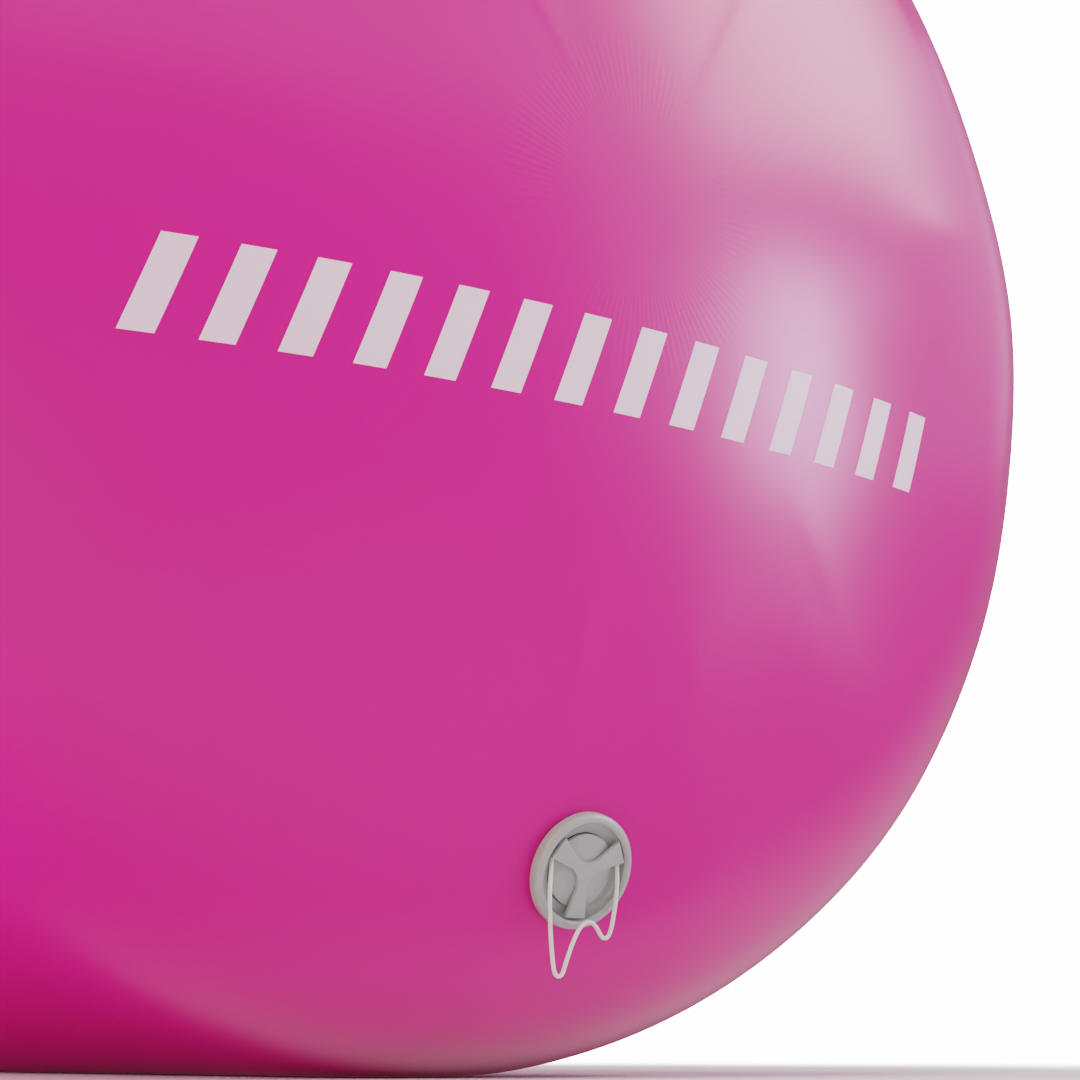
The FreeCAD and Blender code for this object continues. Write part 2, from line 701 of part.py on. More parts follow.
for side, sign in (("left", -1), ("right", 1)):
    base_block = side_box(side + "_base_block", sign, 0,
                          size("base_patch_length"), size("base_patch_width"))
    node(common(side + "_base", outer_layer, base_block), side + "_handle_base_patch")

    strap = doc.addObject("Part::Feature", side + "_strap")
    strap.Shape = strap_solid()
    stand = size("barrel_radius") + LAYER + STRAP / 2
    turn = FreeCAD.Rotation(Vector(0, sign, 0), Vector(sign, 0, 0), Vector(0, 0, -1), "XYZ")
    strap.Placement = FreeCAD.Placement(Vector(sign * stand, 0, size("axis_height")), turn)
    node(strap, side + "_handle_strap")

    for end, way in (("front", -1), ("rear", 1)):
        block = side_box("%s_%s_block" % (side, end), sign,
                         way * (SPAN + 2 + size("cover_patch_length") / 2),
                         size("cover_patch_length"), size("cover_patch_width"))
        slice_ = common("%s_%s_slice" % (side, end), cover_layer, block)
        node(cut("%s_%s_cover" % (side, end), slice_, strap),
             "%s_handle_%s_cover" % (side, end))

# ---------------------------------------------------------------- checks and files
doc.recompute()
for thing in doc.Objects:
    if "Invalid" in thing.State or "Error" in thing.State:
        raise RuntimeError("%s failed: %s" % (thing.Name, thing.State))
labels = [thing.Label for thing in nodes]
if len(set(labels)) != len(labels):
    raise RuntimeError("two sub-parts share a label")

print("cord length %.1f mm, volume over section times length %.3f"
      % (cord_length, cord_shape.Volume / (math.pi * size("cord_radius") ** 2 * cord_length)))
print("cord arc radii", ["%.1f" % r for r in cord_radii])

os.makedirs("parts", exist_ok=True)
for thing in nodes:
    shape = thing.Shape
    if shape.isNull() or not shape.isValid() or shape.Volume <= 0:
        raise RuntimeError(thing.Label + " has no valid solid")
    shape.exportStep("parts/%s.step" % thing.Label)
    bounds = shape.BoundBox
    print("%-28s solids %d volume %10.1f cm3 x %.1f..%.1f y %.1f..%.1f z %.1f..%.1f"
          % (thing.Label, len(shape.Solids), shape.Volume / 1000.0,
             bounds.XMin, bounds.XMax, bounds.YMin, bounds.YMax, bounds.ZMin, bounds.ZMax))
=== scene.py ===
"""Looks of an inflatable air barrel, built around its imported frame. Metres, in the row's frame."""
import json
import math

import bpy
import numpy as np
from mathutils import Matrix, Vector


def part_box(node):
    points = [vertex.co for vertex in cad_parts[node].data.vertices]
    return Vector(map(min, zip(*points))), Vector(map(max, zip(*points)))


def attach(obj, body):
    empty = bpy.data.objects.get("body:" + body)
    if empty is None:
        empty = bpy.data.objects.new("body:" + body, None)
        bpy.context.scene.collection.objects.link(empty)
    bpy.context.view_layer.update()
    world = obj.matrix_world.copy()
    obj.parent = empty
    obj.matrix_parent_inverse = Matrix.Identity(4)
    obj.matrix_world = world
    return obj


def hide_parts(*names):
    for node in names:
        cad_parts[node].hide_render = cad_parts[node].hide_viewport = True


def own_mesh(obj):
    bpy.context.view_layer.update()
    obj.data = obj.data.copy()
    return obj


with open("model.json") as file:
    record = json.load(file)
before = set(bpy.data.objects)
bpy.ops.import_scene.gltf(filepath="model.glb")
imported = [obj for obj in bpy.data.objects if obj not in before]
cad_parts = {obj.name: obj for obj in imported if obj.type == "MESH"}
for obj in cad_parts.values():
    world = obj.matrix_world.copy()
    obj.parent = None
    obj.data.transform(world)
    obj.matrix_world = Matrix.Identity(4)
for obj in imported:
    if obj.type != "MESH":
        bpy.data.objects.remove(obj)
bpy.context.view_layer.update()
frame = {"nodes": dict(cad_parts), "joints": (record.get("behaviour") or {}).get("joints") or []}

# ---------------------------------------------------------------- sizes
MM = 0.001
wall_low, wall_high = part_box("side_wall")
RADIUS = round(wall_high.x, 3)
AXIS_Z = round(wall_high.z, 3) - RADIUS
HALF_WALL = round(wall_high.y, 3)
HALF_LENGTH = -round(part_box("front_end_panel")[0].y, 3)
SKIN = 1.2 * MM
LAYER = 1.0 * MM
SHOULDER = 166 * MM
SKIRT = 11 * MM
REACH = RADIUS - SHOULDER
CROWN_RISE = HALF_LENGTH - HALF_WALL - SKIRT
CROWN = (REACH ** 2 + CROWN_RISE ** 2 - SHOULDER ** 2) / (2 * (CROWN_RISE - SHOULDER))
CROWN_ANGLE = math.asin(REACH / (CROWN - SHOULDER))
CROWN_ARC = CROWN * CROWN_ANGLE
SHOULDER_ARC = SHOULDER * (math.pi / 2 - CROWN_ANGLE)
SEAM = CROWN_ARC + SHOULDER_ARC + SKIRT  # arc length from a dome's pole to the seam with the wall
HALF_TAPE = 25 * MM
VALVE_HOLE = 23.5 * MM  # radius of the opening in the front dome
LAND_BLEND = 1.2 * MM  # rounding where the dome meets the flat land under the valve's flange
FLOOR_BLEND = 1.0 * MM  # rounding where the skin meets the floor
WELD = 1e-7  # points nearer than this are one point

cap_turn = next(j for j in frame["joints"] if j["name"] == "cap_turn")
VALVE = np.array(cap_turn["pos_m"], float)
VALVE_AXIS = np.array(cap_turn["axis"], float)
FRONT, REAR = -1, 1


# ---------------------------------------------------------------- small tools
def smooth(low, high, x):
    """0 below low, 1 above high, and a smooth step between."""
    s = np.clip((x - low) / (high - low), 0, 1)
    return s * s * (3 - 2 * s)


def soft_floor(x, round_off):
    """x where it is positive and nearly 0 where it is negative, rounded between."""
    return (x + np.sqrt(x * x + round_off ** 2)) / 2


def angle_gap(theta, degrees):
    """How far theta is from an angle, in radians, the short way round."""
    return (theta - math.radians(degrees) + math.pi) % (2 * math.pi) - math.pi


def mesh_object(name, points, faces, material, sharp=35):
    """A smooth-shaded mesh whose edges stay crisp where its faces meet at more than the sharp angle."""
    mesh = bpy.data.meshes.new(name)
    mesh.from_pydata([tuple(p) for p in points], [], faces)
    mesh.validate()
    mesh.polygons.foreach_set("use_smooth", [True] * len(mesh.polygons))
    mesh.set_sharp_from_angle(angle=math.radians(sharp))
    mesh.materials.append(material)
    made = bpy.data.objects.new(name, mesh)
    bpy.context.scene.collection.objects.link(made)
    return made


def closed_shell(name, outer, inner, material, wrap=False, keep=None):
    """A closed sheet between two grids of points of the same shape, rows by columns.

    wrap joins the last column to the first. keep says which cells are there; a rim closes each of
    the sheet's edges.
    """
    rows, cols = outer.shape[:2]
    spans = cols if wrap else cols - 1
    if keep is None:
        keep = np.ones((rows - 1, spans), bool)
    shift = rows * cols
    faces = []

    def there(i, j):
        if wrap:
            j %= spans
        return 0 <= i < rows - 1 and 0 <= j < spans and keep[i, j]

    for i in range(rows - 1):
        for j in range(spans):
            if not keep[i, j]:
                continue
            k = (j + 1) % cols
            a, b, c, d = i * cols + j, i * cols + k, (i + 1) * cols + k, (i + 1) * cols + j
            faces.append((a, d, c, b))
            faces.append((a + shift, b + shift, c + shift, d + shift))
            for (p, q), beside in (((a, b), (i - 1, j)), ((b, c), (i, j + 1)),
                                   ((c, d), (i + 1, j)), ((d, a), (i, j - 1))):
                if not there(*beside):
                    faces.append((p, q, q + shift, p + shift))
    points = np.concatenate([outer.reshape(-1, 3), inner.reshape(-1, 3)])
    points, faces = merged(points, faces)
    return mesh_object(name, points, outward(points, faces), material)


def outward(points, faces):
    """The same faces, turned round if they look into the closed body instead of out of it."""
    triangles = np.array([(face[0], face[i], face[i + 1])
                          for face in faces for i in range(1, len(face) - 1)])
    a, b, c = np.asarray(points)[triangles].transpose(1, 0, 2)
    volume = np.sum(a * np.cross(b, c)) / 6
    if volume < 0:
        faces = [[face[0]] + list(face[:0:-1]) for face in faces]
    return faces


def merged(points, faces):
    """The same faces with coincident and unused points joined or dropped."""
    _, first, index = np.unique(np.round(points / WELD).astype(np.int64), axis=0,
                                return_index=True, return_inverse=True)
    index = index.reshape(-1)
    clean = []
    for face in faces:
        ring = [int(index[p]) for p in face]
        ring = [p for i, p in enumerate(ring) if p != ring[i - 1]]
        if len(set(ring)) > 2:
            clean.append(ring)
    used = sorted({p for ring in clean for p in ring})
    place = {p: i for i, p in enumerate(used)}
    return points[first][used], [[place[p] for p in ring] for ring in clean]


# ---------------------------------------------------------------- the skin's surface
def profile(t):
    """Radius, distance from mid-length, and outward normal's radial and lengthwise parts, at arc
    length t from a dome's pole."""
    on_shoulder = np.clip((t - CROWN_ARC) / SHOULDER, 0, math.pi / 2 - CROWN_ANGLE)
    lean = np.where(t < CROWN_ARC, t / CROWN, CROWN_ANGLE + on_shoulder)
    crown_r, crown_y = CROWN * np.sin(lean), HALF_LENGTH - CROWN * (1 - np.cos(lean))
    beyond = np.maximum(t - CROWN_ARC - SHOULDER_ARC, 0)
    edge_r = REACH + SHOULDER * np.sin(lean)
    edge_y = HALF_WALL + SKIRT + SHOULDER * np.cos(lean) - beyond
    on_crown = t < CROWN_ARC
    return (np.where(on_crown, crown_r, edge_r), np.where(on_crown, crown_y, edge_y),
            np.sin(lean), np.cos(lean))


# Folds of the front dome: angle about the axis in degrees, where the fold starts and ends as shares
# of the radius, its widths on its two sides (counter-clockwise side first) and its height.
FRONT_FOLDS = [
    (122.0, 0.12, 0.74, 8.0 * MM, 15.0 * MM, 0.95 * MM),
    (58.0, 0.14, 0.70, 10.0 * MM, 18.0 * MM, 0.85 * MM),
    (-95.0, 0.42, 0.80, 14.0 * MM, 6.0 * MM, 1.20 * MM),
    (-77.0, 0.46, 0.68, 16.0 * MM, 9.0 * MM, 0.35 * MM),
    (-48.0, 0.38, 0.68, 24.0 * MM, 12.0 * MM, 0.40 * MM),
    (12.0, 0.50, 0.84, 22.0 * MM, 16.0 * MM, 0.50 * MM),
    (168.0, 0.45, 0.85, 16.0 * MM, 20.0 * MM, 0.50 * MM),
    (-140.0, 0.55, 0.90, 22.0 * MM, 22.0 * MM, 0.50 * MM),
]
REAR_FOLDS = [
    (75.0, 0.20, 0.70, 7.0 * MM, 12.0 * MM, 0.50 * MM),
    (20.0, 0.35, 0.80, 16.0 * MM, 12.0 * MM, 0.50 * MM),
    (-30.0, 0.30, 0.75, 9.0 * MM, 18.0 * MM, 0.45 * MM),
    (-110.0, 0.40, 0.85, 20.0 * MM, 14.0 * MM, 0.50 * MM),
    (160.0, 0.25, 0.65, 8.0 * MM, 14.0 * MM, 0.50 * MM),
]


def folds(theta, share, table):
    """Soft radial ridges that widen outwards."""
    height = np.zeros(np.broadcast(theta, share).shape)
    for degrees, start, end, ahead_width, behind_width, tall in table:
        across = share * RADIUS * np.sin(angle_gap(theta, degrees))
        facing = np.abs(angle_gap(theta, degrees)) < math.pi / 2
        spread = np.where(across > 0, ahead_width, behind_width) * (0.35 + share / (start + end))
        span = (end - start) / 2
        window = smooth(start, start + span, share) * (1 - smooth(end - span, end, share))
        height = height + tall * window * facing * np.exp(-(across / spread) ** 2)
    return height


WAVE_HEIGHT = 0.8 * MM
WALL_WAVE_HEIGHT = 0.7 * MM
WAVE_PHASES = {FRONT: 0.4, REAR: 2.6}
DOME_FOLDS = {FRONT: FRONT_FOLDS, REAR: REAR_FOLDS}


def waves(theta, share, phase):
    """Broad undulations of the shoulder, where the flat panel was gathered into a dome."""
    swell = (1.1 * np.sin(5 * theta + phase) + 0.9 * np.sin(8 * theta + 2.1 * phase)
             + 0.6 * np.sin(13 * theta + 0.7 * phase))
    return WAVE_HEIGHT * swell * smooth(0.35, 0.72, share) * (1 - smooth(0.90, 1.0, share))


def edge_turn(to_seam):
    """The dome dips a little just before the seam, so that it meets the wall at a soft corner."""
    slope, fade = 0.10, 16 * MM
    return -slope * to_seam * np.exp(-to_seam / fade)


def calm(r, theta):
    """How much of the folds is left near the valve, whose flange and patch hold the skin flat."""
    left, flange, free = 0.25, 35 * MM, 100 * MM
    away = np.hypot(r * np.cos(theta), r * np.sin(theta) - (VALVE[2] - AXIS_Z))
    return left + (1 - left) * smooth(flange, free, away)


def flat_land(points, lift):
    """Presses what stands above the valve's seat plane down on to it."""
    front_side = 20 * MM
    height = (points - VALVE) @ VALVE_AXIS - lift
    sunk = -soft_floor(-height, LAND_BLEND) - height
    return points + sunk[..., None] * VALVE_AXIS * (height > -front_side)[..., None]


def dome(theta, t, lift, side):
    """Points of a dome: theta about the barrel's axis, t from the pole, lifted off the skin's face."""
    r, y, out, along = profile(t)
    share = r / RADIUS
    ripple = folds(theta, share, DOME_FOLDS[side]) + waves(theta, share, WAVE_PHASES[side])
    offset = ripple + edge_turn(np.maximum(SEAM - t, 0))
    if side == FRONT:
        offset = offset * calm(r, theta)
    rr = r + (offset + lift) * out
    points = np.stack([rr * np.cos(theta), side * (y + (offset + lift) * along),
                       AXIS_Z + rr * np.sin(theta)], -1)
    if side == FRONT:
        points = flat_land(points, lift)
    return on_floor(points, lift)


def wall(theta, y, lift):
    """Points of the barrel's wall at a distance y along the axis, lifted off the skin's face."""
    inside = 1 - (y / HALF_WALL) ** 2
    swell = np.sin(4 * theta + 9 * y) + 0.6 * np.sin(7 * theta - 14 * y)
    ripple = WALL_WAVE_HEIGHT * inside * swell
    rr = RADIUS + ripple * (0.5 - 0.5 * np.cos(2 * theta)) + lift
    points = np.stack([rr * np.cos(theta), y + 0 * theta, AXIS_Z + rr * np.sin(theta)], -1)
    return on_floor(points, lift)


def on_floor(points, lift):
    """Presses the underside flat on the floor."""
    points[..., 2] = soft_floor(points[..., 2] + lift, FLOOR_BLEND) - lift
    return points


def turn_grid(count):
    """Angles for one full turn, as a row of a grid."""
    return np.linspace(-math.pi, math.pi, count, endpoint=False)[None, :]


# ---------------------------------------------------------------- materials
def new_material(name):
    """A node material, its tree and its shader."""
    made = bpy.data.materials.new(name)
    made.use_nodes = True
    return made, made.node_tree, made.node_tree.nodes["Principled BSDF"]


def add(tree, kind, **values):
    """A node whose properties and inputs are set by name."""
    node = tree.nodes.new(kind)
    for key, value in values.items():
        if hasattr(node, key):
            setattr(node, key, value)
        else:
            node.inputs[key.replace("_", " ")].default_value = value
    return node


def object_place(tree):
    """The socket that gives a surface point's place on its own object."""
    return add(tree, "ShaderNodeTexCoord").outputs["Object"]


def ranged(tree, value, **limits):
    """A value mapped from one range to another and held within it."""
    made = add(tree, "ShaderNodeMapRange", **limits)
    tree.links.new(value, made.inputs["Value"])
    return made.outputs["Result"]


def tinted(tree, shader, place, colour, other, scale):
    """A base colour that drifts between two tints over large soft patches."""
    noise = add(tree, "ShaderNodeTexNoise", Scale=scale, Detail=3.0)
    tree.links.new(place, noise.inputs["Vector"])
    ramp = add(tree, "ShaderNodeValToRGB")
    for stop, position, tint in zip(ramp.color_ramp.elements, (0.35, 0.68), (colour, other)):
        stop.position = position
        stop.color = (*tint, 1)
    tree.links.new(noise.outputs["Fac"], ramp.inputs["Fac"])
    tree.links.new(ramp.outputs["Color"], shader.inputs["Base Color"])


def varied_roughness(tree, shader, place, low, high, scale):
    """A roughness that drifts between low and high."""
    noise = add(tree, "ShaderNodeTexNoise", Scale=scale, Detail=4.0)
    tree.links.new(place, noise.inputs["Vector"])
    spread = ranged(tree, noise.outputs["Fac"], To_Min=low, To_Max=high)
    tree.links.new(spread, shader.inputs["Roughness"])


def bumped(tree, shader, height, strength, distance):
    """Joins a height to the shader's normal, on top of any bump already there."""
    bump = add(tree, "ShaderNodeBump", Strength=strength, Distance=distance)
    tree.links.new(height, bump.inputs["Height"])
    if shader.inputs["Normal"].is_linked:
        tree.links.new(shader.inputs["Normal"].links[0].from_socket, bump.inputs["Normal"])
    tree.links.new(bump.outputs["Normal"], shader.inputs["Normal"])


def maths(tree, operation, first, second=None):
    """A maths node on sockets or numbers."""
    made = add(tree, "ShaderNodeMath", operation=operation)
    for socket, value in zip(made.inputs, (first, second)):
        if isinstance(value, bpy.types.NodeSocket):
            tree.links.new(value, socket)
        elif value is not None:
            socket.default_value = value
    return made.outputs["Value"]


RAYS = 120.0


def pole_rays(tree, place):
    """Fine creases that radiate from the middle of each dome, fading in and out along their length."""
    axes = add(tree, "ShaderNodeSeparateXYZ")
    tree.links.new(place, axes.inputs["Vector"])
    x, y = axes.outputs["X"], axes.outputs["Y"]
    z = maths(tree, "SUBTRACT", axes.outputs["Z"], AXIS_Z)
    turn = maths(tree, "ARCTAN2", z, x)
    reach = maths(tree, "SQRT", maths(tree, "ADD", maths(tree, "MULTIPLY", x, x),
                                      maths(tree, "MULTIPLY", z, z)))
    ray = maths(tree, "SINE", maths(tree, "MULTIPLY", turn, RAYS))
    rise = ranged(tree, reach, interpolation_type="SMOOTHSTEP",
                  From_Min=0.08 * RADIUS, From_Max=0.14 * RADIUS)
    fall = ranged(tree, reach, interpolation_type="SMOOTHSTEP",
                  From_Min=0.24 * RADIUS, From_Max=0.17 * RADIUS)
    on_dome = maths(tree, "GREATER_THAN", maths(tree, "ABSOLUTE", y), HALF_WALL)
    window = maths(tree, "MULTIPLY", rise, fall)
    return maths(tree, "MULTIPLY", ray, maths(tree, "MULTIPLY", window, on_dome))


def pvc_material(name, colour, other, roughness):
    """Glossy coated fabric with a faint grain and the rays round a dome's pole."""
    made, tree, shader = new_material(name)
    place = object_place(tree)
    tinted(tree, shader, place, colour, other, 2.2)
    varied_roughness(tree, shader, place, roughness - 0.02, roughness + 0.03, 9.0)
    grain = add(tree, "ShaderNodeTexNoise", Scale=160.0, Detail=2.0)
    tree.links.new(place, grain.inputs["Vector"])
    bumped(tree, shader, grain.outputs["Fac"], strength=0.05, distance=0.4 * MM)
    bumped(tree, shader, pole_rays(tree, place), strength=0.22, distance=0.05 * MM)
    return made


def ink_material():
    """Pale print, duller than the skin that it lies on."""
    made, tree, shader = new_material("pale_ink")
    place = object_place(tree)
    tinted(tree, shader, place, (0.98, 0.70, 0.84), (0.95, 0.67, 0.81), 12.0)
    varied_roughness(tree, shader, place, 0.36, 0.44, 40.0)
    return made


def valve_material():
    """Satin moulded plastic with a faint moulding grain."""
    made, tree, shader = new_material("grey_moulding")
    place = object_place(tree)
    tinted(tree, shader, place, (0.40, 0.405, 0.40), (0.36, 0.365, 0.365), 30.0)
    varied_roughness(tree, shader, place, 0.18, 0.27, 300.0)
    grain = add(tree, "ShaderNodeTexNoise", Scale=1800.0, Detail=2.0)
    tree.links.new(place, grain.inputs["Vector"])
    bumped(tree, shader, grain.outputs["Fac"], strength=0.08, distance=0.1 * MM)
    return made


def plain_material(name, colour, other, scale, low, high, metallic=0.0):
    """Two close tints in patches, with a roughness between low and high."""
    made, tree, shader = new_material(name)
    place = object_place(tree)
    tinted(tree, shader, place, colour, other, scale)
    varied_roughness(tree, shader, place, low, high, scale * 4)
    shader.inputs["Metallic"].default_value = metallic
    return made


WAVE_RADIANS = 20  # what the wave texture turns through in a metre at scale 1


def webbing_material():
    """Woven polyester webbing: ribs across the strap and yarns along it."""
    made, tree, shader = new_material("black_webbing")
    place = object_place(tree)
    tinted(tree, shader, place, (0.010, 0.010, 0.011), (0.019, 0.019, 0.021), 400.0)
    shader.inputs["Roughness"].default_value = 0.8
    shader.inputs["Specular IOR Level"].default_value = 0.25
    shader.inputs["Sheen Weight"].default_value = 0.04
    for direction, yarn, strength in (("Y", 1.5 * MM, 0.7), ("Z", 1.1 * MM, 0.5)):
        wave = add(tree, "ShaderNodeTexWave", bands_direction=direction,
                   Scale=math.pi / (WAVE_RADIANS * yarn))
        tree.links.new(place, wave.inputs["Vector"])
        bumped(tree, shader, wave.outputs["Fac"], strength, distance=0.35 * MM)
    return made


skin_pvc = pvc_material("pink_pvc", (0.78, 0.0120, 0.230), (0.75, 0.0105, 0.212), 0.24)
tape_pvc = pvc_material("pink_tape_pvc", (0.68, 0.0095, 0.195), (0.63, 0.0085, 0.178), 0.22)
ink = ink_material()
moulding = valve_material()
rubber = plain_material("black_rubber", (0.016, 0.016, 0.017), (0.022, 0.022, 0.023), 80.0, 0.5, 0.65)
steel = plain_material("spring_wire", (0.55, 0.55, 0.56), (0.48, 0.48, 0.5), 200.0, 0.22, 0.35, 1.0)
cord_plastic = plain_material("cord_plastic", (0.74, 0.72, 0.68), (0.69, 0.67, 0.62), 60.0, 0.35, 0.45)
webbing = webbing_material()

# ---------------------------------------------------------------- camera
CAMERA_PLACE = Vector((-0.7296, -1.4437, 0.0136))
CAMERA_YAW = math.radians(38.199)
CAMERA_PITCH = math.radians(12.773)
CAMERA_LENS = 75.16


def make_camera():
    """The catalogue view: low in front of the valve end, looking up a little."""
    data = bpy.data.cameras.new("camera")
    data.lens = CAMERA_LENS
    data.clip_start = 0.05
    data.clip_end = 60
    camera = bpy.data.objects.new("camera", data)
    camera.location = CAMERA_PLACE
    camera.rotation_euler = (math.pi / 2 + CAMERA_PITCH, 0, -CAMERA_YAW)
    bpy.context.scene.collection.objects.link(camera)
    bpy.context.scene.camera = camera


make_camera()

# ---------------------------------------------------------------- cap cord
# The same route as the CAD cord: offsets from the valve's centre, in millimetres.
CORD_FOOT = (21.0, -6.577, 4.438)
CORD_ROUTE = [
    (-CORD_FOOT[0], CORD_FOOT[1], CORD_FOOT[2]),
    (-22.4, -6.9, -5.0),
    (-23.2, -7.3, -15.0),
    (-23.2, -7.5, -27.0),
    (-22.6, -7.5, -38.5),
    (-21.4, -7.5, -48.5),
    (-20.3, -7.5, -53.6),
    (-18.0, -7.5, -54.9),
    (-15.6, -7.5, -54.0),
    (-13.7, -7.5, -49.2),
    (-9.6, -7.5, -39.5),
    (-5.2, -7.5, -31.6),
    (-0.9, -7.5, -27.6),
    (3.6, -7.5, -27.2),
    (7.4, -7.5, -30.4),
    (9.9, -7.5, -34.6),
    (12.3, -7.5, -35.3),
    (14.6, -7.5, -34.2),
    (16.7, -7.5, -29.8),
    (18.9, -7.4, -20.6),
    (20.6, -7.2, -11.0),
    (21.4, -6.9, -3.0),
    CORD_FOOT,
]
CORD_DIAMETER = 2.2 * MM


def make_cord():
    """The cap's cord, a smooth curve along its route."""
    data = bpy.data.curves.new("cap_cord_line", "CURVE")
    data.dimensions = "3D"
    data.bevel_depth = CORD_DIAMETER / 2
    data.bevel_resolution = 6
    data.resolution_u = 10
    data.use_fill_caps = True
    line = data.splines.new("NURBS")
    line.points.add(len(CORD_ROUTE) - 1)
    for point, offset in zip(line.points, CORD_ROUTE):
        point.co = (*(VALVE + np.array(offset) * MM), 1)
    line.order_u = 3
    line.use_endpoint_u = True
    data.materials.append(cord_plastic)
    cord = bpy.data.objects.new("cap_cord_loop", data)
    bpy.context.scene.collection.objects.link(cord)
    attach(cord, "cap")
    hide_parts("cap_cord")


make_cord()


# ---------------------------------------------------------------- skin, tapes and seams
def on_barrel(piece, slot, *nodes):
    """Fixes a piece to the barrel, in place of the CAD nodes named."""
    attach(piece, "barrel")
    if nodes:
        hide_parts(*nodes)


def make_dome(name, side, columns, rows, node):
    """A domed end from its pole to the seam, with the valve's hole in the front one."""
    theta = turn_grid(columns)
    t = np.linspace(0, 1, rows)[:, None] * SEAM
    keep = None
    if side == FRONT:
        middle = dome(theta + math.pi / columns, (t[1:] + t[:-1]) / 2, 0.0, side)
        off = middle - VALVE
        off = off - (off @ VALVE_AXIS)[..., None] * VALVE_AXIS
        keep = np.linalg.norm(off, axis=-1) > VALVE_HOLE
    piece = closed_shell(name, dome(theta, t, 0.0, side), dome(theta, t, -SKIN, side), skin_pvc,
                         wrap=True, keep=keep)
    on_barrel(piece, "pink_skin", node)


def make_wall():
    """The tube between the two domes."""
    theta = turn_grid(400)
    y = np.linspace(-HALF_WALL, HALF_WALL, 90)[:, None]
    piece = closed_shell("wall_skin", wall(theta, y, 0.0), wall(theta, y, -SKIN), skin_pvc, wrap=True)
    on_barrel(piece, "pink_skin", "side_wall")


make_dome("front_dome_skin", FRONT, 720, 134, "front_end_panel")
make_dome("rear_dome_skin", REAR, 360, 100, "rear_end_panel")
make_wall()


def make_rim_tape(name, side, node):
    """The tape inside the seam, half on the dome and half on the wall."""
    theta = turn_grid(240)

    def strip(lift):
        t = np.linspace(SEAM - HALF_TAPE, SEAM, 8)[:, None]
        y = side * np.linspace(HALF_WALL, HALF_WALL - HALF_TAPE, 8)[1:, None]
        return np.concatenate([dome(theta, t, lift, side), wall(theta, y, lift)])

    piece = closed_shell(name, strip(-SKIN), strip(-SKIN - LAYER), tape_pvc, wrap=True)
    on_barrel(piece, "pink_tape", node)


make_rim_tape("front_seam_lining", FRONT, "front_rim_tape")
make_rim_tape("rear_seam_lining", REAR, "rear_rim_tape")

SEAM_TAPE_ANGLE = math.radians(40)  # from +X, up and to the right


def make_seam_tape(name, half_length, low, high, node):
    """A tape along the wall's lengthwise seam, between two lifts off the skin's face."""
    half = HALF_TAPE / RADIUS
    theta = SEAM_TAPE_ANGLE + np.linspace(-half, half, 40)[None, :]
    y = np.linspace(-half_length, half_length, 90)[:, None]
    piece = closed_shell(name, wall(theta, y, high), wall(theta, y, low), tape_pvc)
    on_barrel(piece, "pink_tape", node)


make_seam_tape("wall_seam_band", HALF_WALL, 0.0, LAYER, "wall_seam_tape_outer")
make_seam_tape("wall_seam_lining", HALF_WALL - HALF_TAPE, -SKIN - LAYER, -SKIN, "wall_seam_tape_inner")

# ---------------------------------------------------------------- printed band
PRINT_LEFT, PRINT_RIGHT = -0.62 * RADIUS, 0.56 * RADIUS
PRINT_BASE = -0.255 * RADIUS
PRINT_HEIGHT = 0.107 * RADIUS
BARS = 14
BAR_SHARE = 0.46  # of the pitch
BAR_SLANT = 0.35
INK_LIFT = 0.12 * MM
INK_DEPTH = 0.10 * MM


def on_front(x, z, lift):
    """The front dome's point in front of (x, z), both measured from the barrel's axis."""
    t = CROWN * np.arcsin(np.hypot(x, z) / CROWN)
    return dome(np.arctan2(z, x), t, lift, FRONT)


def make_print():
    """A row of plain slanted bars, each lying on the dome."""
    pitch = (PRINT_RIGHT - PRINT_LEFT) / BARS
    for i in range(BARS):
        left = PRINT_LEFT + i * pitch
        z = PRINT_BASE + np.linspace(0, PRINT_HEIGHT, 25)[:, None]
        x = left + np.linspace(0, BAR_SHARE * pitch, 13)[None, :] + BAR_SLANT * (z - PRINT_BASE)
        z = z + 0 * x
        piece = closed_shell("printed_bar_%02d" % (i + 1), on_front(x, z, INK_LIFT),
                             on_front(x, z, -INK_DEPTH), ink)
        on_barrel(piece, "pink_skin")


make_print()


# ---------------------------------------------------------------- handles
def rounded_rectangle(length, width, corner, rings, around):
    """A grid of (along, across) from the middle of a rounded rectangle out to its edge, where its
    rings lie closer."""
    turn = np.linspace(0, 2 * math.pi, around, endpoint=False)
    flat_l, flat_w = length / 2 - corner, width / 2 - corner
    aim = np.stack([np.cos(turn), np.sin(turn)], -1)
    edge = np.zeros_like(aim)
    for i, (c, s) in enumerate(aim):
        scale = min(length / 2 / max(abs(c), 1e-9), width / 2 / max(abs(s), 1e-9))
        px, py = abs(c) * scale, abs(s) * scale
        if px > flat_l and py > flat_w:
            # Here the line from the middle meets the corner's arc.
            k = abs(c) * flat_l + abs(s) * flat_w
            reach = k + math.sqrt(max(k * k - (flat_l ** 2 + flat_w ** 2 - corner ** 2), 0))
            px, py = abs(c) * reach, abs(s) * reach
        edge[i] = (math.copysign(px, c), math.copysign(py, s))
    share = np.linspace(0, 1, rings)[:, None, None] ** 0.7
    return share * edge[None]


def side_patch(name, side, centre, grid, height, node):
    """A patch on the wall's side: height gives its underside's lift at each point of the grid."""
    along, across = grid[..., 0], grid[..., 1]
    theta = across / RADIUS
    y = centre + along
    low = height(along, across)
    outer = wall(theta, y, low + LAYER)
    inner = wall(theta, y, low)
    outer[..., 0] *= side
    inner[..., 0] *= side
    piece = closed_shell(name, outer, inner, tape_pvc, wrap=True)
    on_barrel(piece, "pink_tape", node)


